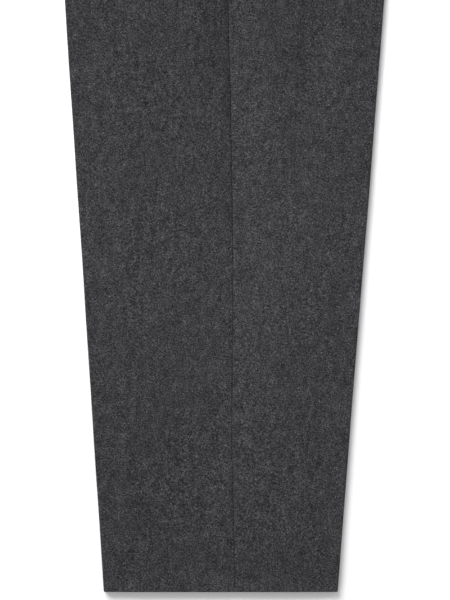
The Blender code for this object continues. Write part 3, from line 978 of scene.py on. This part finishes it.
def running_stitches(path, length, gap, arch):
    """Stitches of this length along a path, gap apart."""
    path = np.asarray(path)
    reach = reach_along(path)
    starts = np.arange(0, reach[-1] - length, length + gap)

    def at(distance):
        return [np.interp(distance, reach, column) for column in path.T]

    return [Stitch(at(s), at(s + length), arch) for s in starts]


def bar_tack(place, width, count, pitch):
    """A bar of threads across a width; place(a, b) is a point of the cloth's top."""
    bar = []
    for i in range(count):
        b = (i - (count - 1) / 2) * pitch
        slant = TACK_SLANT * (-1) ** i
        bar.append(Stitch(place(-width / 2, b - slant), place(width / 2, b + slant), TACK_ARCH))
    return bar


# ---- Where the sewing goes


def front_top(height, x, upper):
    """A point on the outer face of a front, near its side."""
    if upper:
        z = upper_level(height, x) + mouth_lift(height, x) + CLOTH / 2
        z -= seam_dip(height, x - pocket_mouth(height)) + stitch_groove(height, x) / 2
    else:
        z = THREAD / 2 + 0.02 * MM
    return x, y_of(height, x), z


def mouth_sewing(upper):
    """A row of stitches beside the pocket's mouth, and a bar tack at each end."""
    heights = np.linspace(POCKET_BOTTOM + 5 * MM, WAIST - 3 * MM, ROW_POINTS)
    row = [front_top(h, pocket_mouth(h) + MOUTH_STITCH_INSET, upper) for h in heights]
    sewing = running_stitches(row, *PANEL_STITCH, MOUTH_ARCH if upper else LAID_ARCH)
    for height in (POCKET_BOTTOM + 4 * MM, WAIST - 12 * MM) if upper else ():
        middle = pocket_mouth(height) + 3.4 * MM
        sewing += bar_tack(lambda a, b: front_top(height + b, middle + a, True), 5.5 * MM, 6, 0.3 * MM)
    return sewing


def loop_row(path, place):
    """A row of stitches along a belt loop, through place(up)."""
    inset = 1.2 * MM
    return [place(up) for up in np.linspace(path[0].up + inset, path[-1].up - inset, ROW_POINTS)]


def loop_sewing(loop, upper):
    """Two rows along a belt loop, and where it shows a bar tack at both ends."""
    path = loop_path(loop)

    def place(side, up):
        z = read(path, "z", up) + LOOP_CLOTH / 2 if upper else THREAD_ROOM - 0.02 * MM
        return *band_place(loop.x + side, up), z

    sewing = []
    for side in (-1, 1):
        aside = side * (LOOP_WIDTH / 2 - LOOP_STITCH_INSET)
        row = loop_row(path, lambda up: place(aside, up))
        sewing += running_stitches(row, *LOOP_STITCH, ARCH if upper else LAID_ARCH)
    inset = 2.4 * MM
    for up in (path[0].up + inset, path[-1].up - inset) if upper else ():
        sewing += bar_tack(lambda a, b: place(a, up + b), LOOP_WIDTH - inset, 5, 0.32 * MM)
    return sewing


def seat_loop_sewing():
    edge = back_edge(WAIST)
    top = band_level(edge, True) + BAND_CLOTH / 2 + GAP + LOOP_CLOTH

    def place(up):
        side = LOOP_WIDTH / 2 - LOOP_STITCH_INSET - seat_loop_behind(up)
        return *band_place(edge + side, up), top

    return running_stitches(loop_row(SEAT_LOOP_PATH, place), *LOOP_STITCH, ARCH)


def fly_sewing():
    row = []
    for height in np.linspace(FLY_BOTTOM + 6 * MM, WAIST - 3 * MM, ROW_POINTS):
        x = front_edge(height) - FLY_STITCH_INSET
        row.append((x, y_of(height, x), upper_level(height, x) + CLOTH / 2))
    return running_stitches(row, *PANEL_STITCH, ARCH)


def zip_teeth():
    """The closed zip's two interlocked rows of coil teeth, down the middle of its tape."""
    teeth = []
    sink = 0.08 * MM
    for i, height in enumerate(np.arange(0.894, 1.014, 1.1 * MM)):
        x = front_edge(height) - ZIP_INSET - ZIP_WIDTH / 2
        y, z = y_of(height, x), level(1, height) + CLOTH / 2 - sink
        reach = 2.2 * MM * (-1) ** i
        teeth.append(Stitch([x + reach, y, z], [x - 0.25 * reach, y + 0.2 * MM, z], 0.16 * MM))
    return teeth


# ---- Finishes


def add(tree, kind, inputs=None, **settings):
    """A new shader node's outputs; an input is a value or another node's output."""
    node = tree.nodes.new("ShaderNode" + kind)
    for key, value in settings.items():
        setattr(node, key, value)
    for key, value in (inputs or {}).items():
        if isinstance(value, bpy.types.NodeSocket):
            tree.links.new(value, node.inputs[key])
        else:
            node.inputs[key].default_value = value
    return node.outputs


def math_node(tree, operation, *values):
    return add(tree, "Math", dict(enumerate(values)), operation=operation)[0]


def mapped(tree, place, origin, angle, scale):
    """Coordinates measured from this origin, along this angle and in these sizes."""
    turn = (0.0, 0.0, math.radians(angle))
    inputs = {"Vector": place, "Location": origin, "Rotation": turn, "Scale": scale}
    return add(tree, "Mapping", inputs, vector_type="TEXTURE")[0]


Fibre = namedtuple("Fibre", "angle length width contrast")


def noise(tree, place, fibre, seed):
    """Centred noise, about -0.5 to 0.5, in blobs of this fibre's size along its angle."""
    length, width = fibre.length * MM, fibre.width * MM
    origin = (seed * 0.37, seed * 0.11, seed * 0.07)
    turned = mapped(tree, place, origin, fibre.angle, (length, width, width))
    made = add(tree, "TexNoise", {"Vector": turned, "Scale": 1.0, "Detail": 0.0})
    return math_node(tree, "SUBTRACT", made[0], 0.5)


def weighted(tree, terms):
    """The sum of (value, weight) pairs."""
    total = None
    for value, weight in terms:
        part = math_node(tree, "MULTIPLY", value, weight)
        total = part if total is None else math_node(tree, "ADD", total, part)
    return total


MELANGE_SKEW = 3.5  # above 1, light places are rarer and stand out more


def spread(tree, terms):
    """A brightness factor around 1 from weighted noises."""
    share = math_node(tree, "DIVIDE", weighted(tree, terms), MELANGE_SKEW)
    kept = math_node(tree, "MAXIMUM", math_node(tree, "ADD", share, 1.0), 0.05)
    return math_node(tree, "POWER", kept, MELANGE_SKEW)


def shader(name, surface):
    """(material, node tree, shader) with this surface's values set on the shader itself."""
    made = bpy.data.materials.new(name)
    made.use_nodes = True
    principled = made.node_tree.nodes["Principled BSDF"]
    for key, value in surface.items():
        principled.inputs[key].default_value = value
    return made, made.node_tree, principled


def paint(tree, principled, colour, factor):
    scaled = add(tree, "VectorMath", {0: colour, "Scale": factor}, operation="SCALE")
    tree.links.new(scaled[0], principled.inputs["Base Color"])


def emboss(tree, principled, strength, distance, height):
    bump = add(tree, "Bump", {"Strength": strength, "Distance": distance, "Height": height})
    tree.links.new(bump[0], principled.inputs["Normal"])


FLANNEL = (0.0281, 0.0275, 0.0300)
FLANNEL_SURFACE = {
    "Roughness": 0.93,
    "Specular IOR Level": 0.10,
    "Sheen Weight": 0.08,
    "Sheen Roughness": 0.55,
    "Sheen Tint": (0.80, 0.80, 0.84, 1.0),
}
FIBRES = (  # millimetres; wool fibres of the brushed face
    Fibre(80, 1.8, 0.60, 1.15),
    Fibre(-60, 1.8, 0.58, 1.35),
    Fibre(34, 1.7, 0.56, 1.35),
    Fibre(-14, 1.6, 0.56, 1.30),
)
GRAIN = Fibre(0, 1.10, 1.00, 2.75)
PATCHES = (  # where the nap lies a little differently
    Fibre(80, 95.0, 55.0, 0.10),
    Fibre(20, 24.0, 15.0, 0.20),
    Fibre(86, 12.0, 6.0, 0.58),
    Fibre(84, 6.5, 3.6, 0.58),
    Fibre(-20, 3.6, 3.0, 0.36),
)
THREAD_COLOUR = (0.022, 0.022, 0.025)
THREAD_SURFACE = {"Roughness": 0.6, "Specular IOR Level": 0.35}
TWIST = Fibre(40, 0.5, 0.12, 1.2)
TAPE_COLOUR = (0.016, 0.016, 0.018)
TAPE_SURFACE = {"Roughness": 0.7, "Specular IOR Level": 0.3}
RIBS = Fibre(90, 3, 0.4, 1.5)
PAINTED_SHADE_PATCHES = rows(  # millimetres and degrees; painted light and shade: soft patches where the cloth's colour is made lighter or darker by this share, standing in for the light falling off towards the top and bottom of the leg, the shading beside the side seam and over soft relief, and a painted sheen along the pressed hem
    "x height angle length width change",
    (0, 540, 0, 270, 200, -0.15),
    (54, 290, 70, 110, 60, 0.12),
    (0, 240, 0, 300, 160, 0.04),
    (0, 20, 0, 300, 80, -0.04),
    (0, 2, 0, 400, 15, 0.10),
    (-18, 500, 88, 86, 30, -0.13),
    (64, 486, 78, 100, 28, -0.06),
    (92, 420, 92, 200, 34, 0.10),
    (84, 205, 92, 80, 34, 0.08),
    (-126, 500, 94, 110, 34, -0.13),
    (62, 28, 0, 60, 20, -0.08),
    (-74, 20, 0, 60, 26, 0.06),
    (14, 330, 90, 420, 44, 0.12),
    (8, 130, 90, 110, 22, 0.07),
    (3, 274, 90, 90, 13, -0.13),
    (-80, 80, 84, 190, 60, -0.07),
    (-96, 700, 70, 120, 50, 0.07),
    (120, 850, 120, 110, 60, 0.07),
    (-110, 890, 30, 120, 50, -0.06),
    (40, 760, 96, 140, 40, -0.06),
)


def painted_shade_patch(tree, place, shade_row):
    """1 in the middle of a long soft patch of painted shading and 0 outside it."""
    x, y, _ = to_row((shade_row.x * MM, shade_row.height * MM, 0.0))
    inside = mapped(tree, place, (x, y, 0.0), shade_row.angle, (shade_row.length * MM, shade_row.width * MM, 1.0))
    ball = add(tree, "TexGradient", {0: inside}, gradient_type="SPHERICAL")["Fac"]
    return add(tree, "MapRange", {0: ball}, interpolation_type="SMOOTHSTEP")[0]


def flannel(name, seed, tone=1.0):
    """Charcoal melange: dark wool with lighter fibres, milled so that no weave shows."""
    made, tree, principled = shader(name, FLANNEL_SURFACE)
    place = add(tree, "TexCoord")["Object"]
    fibres = enumerate([*FIBRES, GRAIN, *PATCHES], seed)
    terms = [(noise(tree, place, fibre, number), fibre.contrast) for number, fibre in fibres]
    raised_fibres = terms[: len(FIBRES) + 1]
    # painted light and shade: soft patches that lighten or darken the wool's colour
    terms += [(painted_shade_patch(tree, place, shade_row), shade_row.change) for shade_row in PAINTED_SHADE_PATCHES]
    paint(tree, principled, tuple(channel * tone for channel in FLANNEL), spread(tree, terms))
    emboss(tree, principled, 0.35, 0.12 * MM, weighted(tree, raised_fibres))
    return made


def trim(name, surface, colour, fibre, seed, relief=0.0):
    """Thread or tape: one colour and one kind of fibre, in relief or flat."""
    made, tree, principled = shader(name, surface)
    place = add(tree, "TexCoord")["Object"]
    fibres = noise(tree, place, fibre, seed)
    paint(tree, principled, colour, spread(tree, [(fibres, fibre.contrast)]))
    if relief:
        emboss(tree, principled, 0.5, relief, fibres)
    return made


# ---- Camera, floor and light

PHOTO_HEIGHT = 0.5134  # what the photograph's frame covers at the cloth
LENS = 100.0
SENSOR = 36.0
CLOTH_TOP = 6 * MM
VIEW_X = -0.0073  # the middle of the frame
VIEW_Y = -0.2972


def add_camera():
    data = bpy.data.cameras.new("camera")
    data.lens = LENS
    data.sensor_fit = "VERTICAL"
    data.sensor_height = SENSOR
    camera = link("camera", data)
    camera.location = (VIEW_X, VIEW_Y, CLOTH_TOP + PHOTO_HEIGHT * LENS / SENSOR)
    bpy.context.scene.camera = camera


FLOOR_HALF = 12.0
FLOOR_SURFACE = {"Roughness": 0.9, "Specular IOR Level": 0.1, "Base Color": (0.93, 0.93, 0.93, 1.0)}


def add_floor():
    mesh = bpy.data.meshes.new("floor")
    corners = [(x * FLOOR_HALF, y * FLOOR_HALF, 0) for x, y in ((-1, -1), (1, -1), (1, 1), (-1, 1))]
    mesh.from_pydata(corners, [], [(0, 1, 2, 3)])
    mesh.materials.append(shader("floor", FLOOR_SURFACE)[0])
    link("floor", mesh)


KEY_DISTANCE = 4.0
KEY_ELEVATION = 26.4  # degrees above the floor
KEY_TURN = 26.5  # degrees from the waist towards the left
KEY_WIDTH = 3.2
KEY_HEIGHT = 2.9
KEY_WATTS = 333.0
FILL = 0.52  # the strength of the white from above
HORIZON = 1.0  # and from all round
SKY_FADE = (0.15, 0.55)


def add_key():
    """A large soft light beyond the waist, on the left."""
    data = bpy.data.lights.new("key", "AREA")
    data.shape = "RECTANGLE"
    data.size = KEY_WIDTH
    data.size_y = KEY_HEIGHT
    data.energy = KEY_WATTS
    key = link("key", data)
    up, turn = math.radians(KEY_ELEVATION), math.radians(KEY_TURN)
    towards = Vector((-math.sin(turn) * math.cos(up), math.cos(turn) * math.cos(up), math.sin(up)))
    key.location = Vector((VIEW_X, VIEW_Y, 0.0)) + KEY_DISTANCE * towards
    key.rotation_euler = towards.to_track_quat("Z", "Y").to_euler()
    key.visible_camera = False


def add_sky():
    world = bpy.data.worlds.new("studio")
    world.use_nodes = True
    tree = world.node_tree
    direction = add(tree, "TexCoord")["Generated"]
    up = add(tree, "SeparateXYZ", {0: direction})["Z"]
    low, high = SKY_FADE
    inputs = {"Value": up, "From Min": low, "From Max": high, "To Min": HORIZON, "To Max": FILL}
    strength = add(tree, "MapRange", inputs, interpolation_type="SMOOTHSTEP")[0]
    background = tree.nodes["Background"]
    tree.links.new(strength, background.inputs["Strength"])
    background.inputs["Color"].default_value = (1.0, 1.0, 1.0, 1.0)
    bpy.context.scene.world = world


# ---- The garment


def place_cloth(piece, node):
    """Puts a cloth piece in place of its solid, and hides the solid."""
    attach(piece, "root")
    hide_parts(node)


def place_sewing(name, stitches, finish):
    piece = stitch_mesh(name, stitches, finish)
    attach(piece, "root")


def dress():
    fronts = flannel("flannel_front", 1)
    backs = flannel("flannel_back", 13)
    trims = flannel("flannel_trim", 23, tone=0.98)
    sewing = trim("sewing_thread", THREAD_SURFACE, THREAD_COLOUR, TWIST, seed=31)
    tape = trim("zip_tape", TAPE_SURFACE, TAPE_COLOUR, RIBS, seed=41, relief=0.2 * MM)
    for side, upper in (("right", True), ("left", False)):
        front = panel(side + "_front_cloth", front_grid, upper, FLY_BOTTOM, fronts)
        back = panel(side + "_back_cloth", back_grid, upper, SEAT_JOIN, backs)
        facing = pocket_facing(side + "_pocket_facing_cloth", upper, backs)
        band = waistband(side + "_waistband_cloth", upper, trims)
        place_cloth(front, side + "_front")
        place_cloth(back, side + "_back")
        place_cloth(facing, side + "_pocket_facing")
        place_cloth(band, side + "_waistband")
        for loop in LOOPS:
            name = f"{side}_loop_{loop.name}"
            place_cloth(belt_loop(name + "_cloth", loop, upper, trims), name)
            place_sewing(name + "_stitches", loop_sewing(loop, upper), sewing)
        place_sewing(side + "_pocket_stitches", mouth_sewing(upper), sewing)
    place_sewing("fly_stitches", fly_sewing(), sewing)
    place_cloth(seat_loop("seat_loop_cloth", trims), "seat_loop")
    place_sewing("seat_loop_stitches", seat_loop_sewing(), sewing)
    place_cloth(fly_shield("fly_shield_cloth", trims), "fly_shield")
    place_cloth(fly_zip("fly_zip_tape", tape), "fly_zip")
    place_sewing("fly_zip_teeth", zip_teeth(), tape)


add_camera()
add_floor()
add_key()
add_sky()
dress()
bpy.context.scene.view_settings.view_transform = "Standard"
